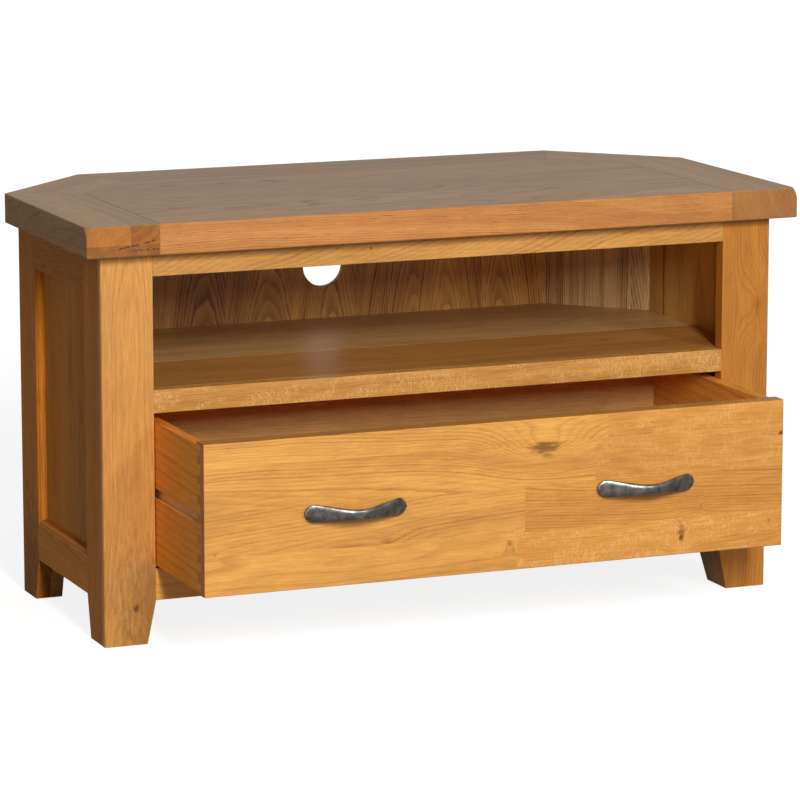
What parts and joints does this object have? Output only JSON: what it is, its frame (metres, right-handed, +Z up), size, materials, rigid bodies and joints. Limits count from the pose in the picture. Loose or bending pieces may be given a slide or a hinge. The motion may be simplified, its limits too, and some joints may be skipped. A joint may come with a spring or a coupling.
{
  "type": "corner media cabinet",
  "caption": "Corner media cabinet in rustic oak: clipped back corners, open shelf with a cable hole, panelled sides, and a dovetailed drawer with bow handles.",
  "frame": {"origin": "on the floor, below the middle of the whole object with the drawer pulled out as at rest", "axes": "+Z up, +X to the right as seen from the front, +Y from the front to the back"},
  "size_m": [1, 0.685, 0.55],
  "materials": {
    "oak_top": "lacquered rustic oak, satin",
    "oak_frame": "lacquered rustic oak, satin",
    "oak_shelf": "lacquered rustic oak, satin",
    "oak_back": "oak-veneered plywood, satin",
    "oak_rear_frame": "oak, thin lacquer",
    "batten": "planed softwood, bare",
    "runner_wood": "planed hardwood, waxed",
    "screw_steel": "zinc-plated",
    "oak_drawer_front": "lacquered rustic oak, satin",
    "drawer_box": "lacquered solid wood, satin",
    "drawer_ply": "plywood, thin lacquer",
    "pewter": "antique pewter, brushed on the high places"
  },
  "bodies": {
    "cabinet": {"top_panel": "oak_top", "top_back_border": "oak_top", "top_end_left": "oak_top", "top_end_right": "oak_top", "top_diagonal_left": "oak_top", "top_diagonal_right": "oak_top", "front_stile_left": "oak_frame", "front_stile_right": "oak_frame", "side_front_stile_left": "oak_frame", "side_front_stile_right": "oak_frame", "side_rear_stile_left": "oak_frame", "side_rear_stile_right": "oak_frame", "side_top_rail_left": "oak_frame", "side_top_rail_right": "oak_frame", "side_bottom_rail_left": "oak_frame", "side_bottom_rail_right": "oak_frame", "side_panel_left": "oak_frame", "side_panel_right": "oak_frame", "side_bead_left": "oak_frame", "side_bead_right": "oak_frame", "front_foot_block_left": "oak_frame", "front_foot_block_right": "oak_frame", "rear_foot_block_left": "oak_frame", "rear_foot_block_right": "oak_frame", "front_top_rail": "oak_frame", "shelf_lip": "oak_frame", "front_bottom_rail": "oak_frame", "shelf_front_board": "oak_shelf", "shelf_rear_board": "oak_shelf", "back_panel": "oak_back", "diagonal_panel_left": "oak_back", "diagonal_panel_right": "oak_back", "back_post_left": "oak_rear_frame", "back_post_right": "oak_rear_frame", "back_top_rail": "oak_rear_frame", "back_bottom_rail": "oak_rear_frame", "diagonal_top_rail_left": "oak_rear_frame", "diagonal_top_rail_right": "oak_rear_frame", "diagonal_bottom_rail_left": "oak_rear_frame", "diagonal_bottom_rail_right": "oak_rear_frame", "shelf_cleats": "batten", "top_fixing_blocks": "batten", "runner_bearer_left": "batten", "runner_bearer_right": "batten", "runner_left": "runner_wood", "runner_right": "runner_wood", "runner_screws": "screw_steel", "top_fixing_screws": "screw_steel"},
    "drawer": {"drawer_front": "oak_drawer_front", "drawer_side_left": "drawer_box", "drawer_side_right": "drawer_box", "drawer_back": "drawer_ply", "drawer_bottom": "drawer_ply", "handle_left": "pewter", "handle_right": "pewter", "handle_screws": "screw_steel"}
  },
  "joints": [
    {"name": "drawer_slide", "type": "slide", "parent": "cabinet", "child": "drawer", "axis": [0, -1, 0], "range_m": [-0.185, 0.1]}
  ]
}
